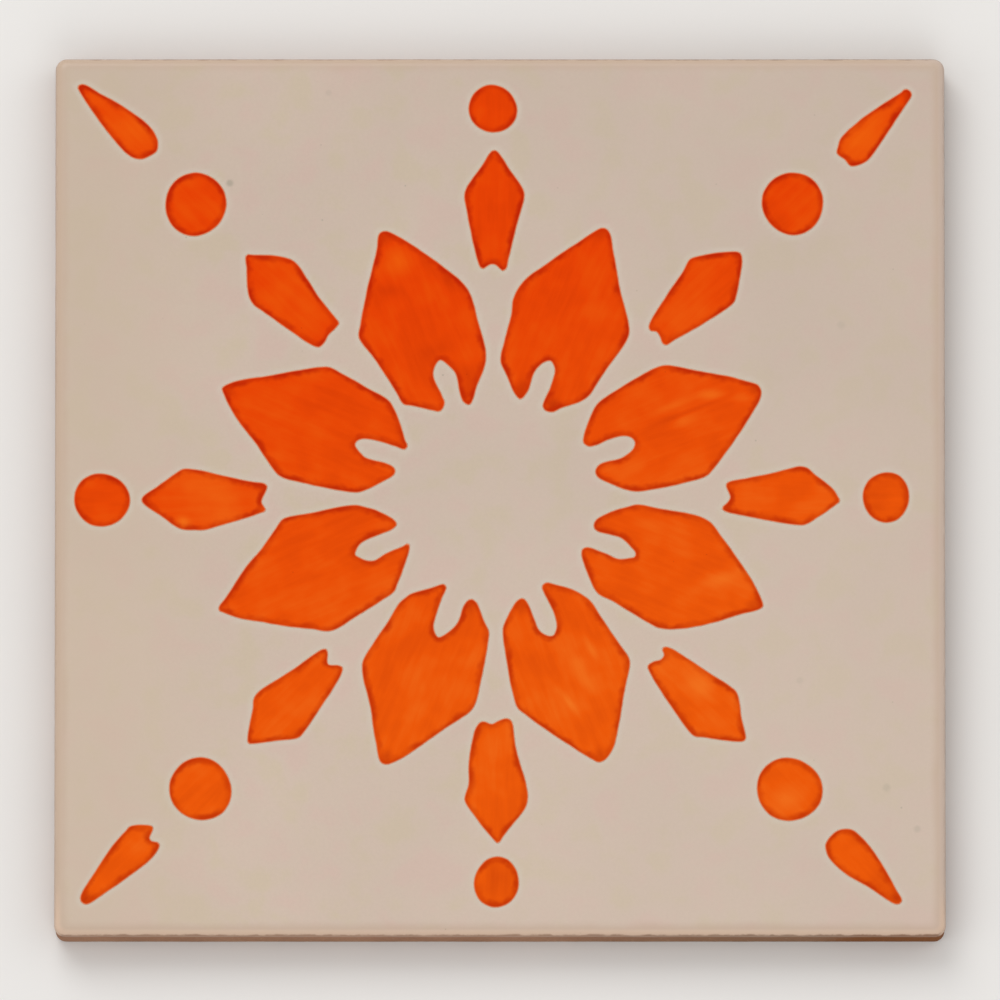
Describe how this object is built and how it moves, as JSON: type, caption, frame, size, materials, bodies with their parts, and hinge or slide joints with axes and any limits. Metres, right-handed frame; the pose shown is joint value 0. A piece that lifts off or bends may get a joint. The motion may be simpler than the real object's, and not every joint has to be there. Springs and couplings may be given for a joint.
{
  "type": "azulejo tile",
  "caption": "Square glazed earthenware wall tile with a rolled face edge, a stencil-painted orange rosette and shallow mortar keys in its back.",
  "frame": {"origin": "middle of the tile's back, on the plane that it lies on", "axes": "+Z out of the glazed face, +Y towards the top edge of the painted pattern, +X to the right as seen from in front of the glazed face"},
  "size_m": [0.14, 0.14, 0.008],
  "materials": {
    "tin_glaze": "warm beige glaze, satin to glossy, with fine specks and a few pinholes",
    "orange_paint": "orange stencil paint fired into the glaze, streaky, darker where it pooled at the edges",
    "bare_clay": "matt brown earthenware, unglazed"
  },
  "bodies": {
    "root": {"tile": "tin_glaze"}
  },
  "joints": []
}
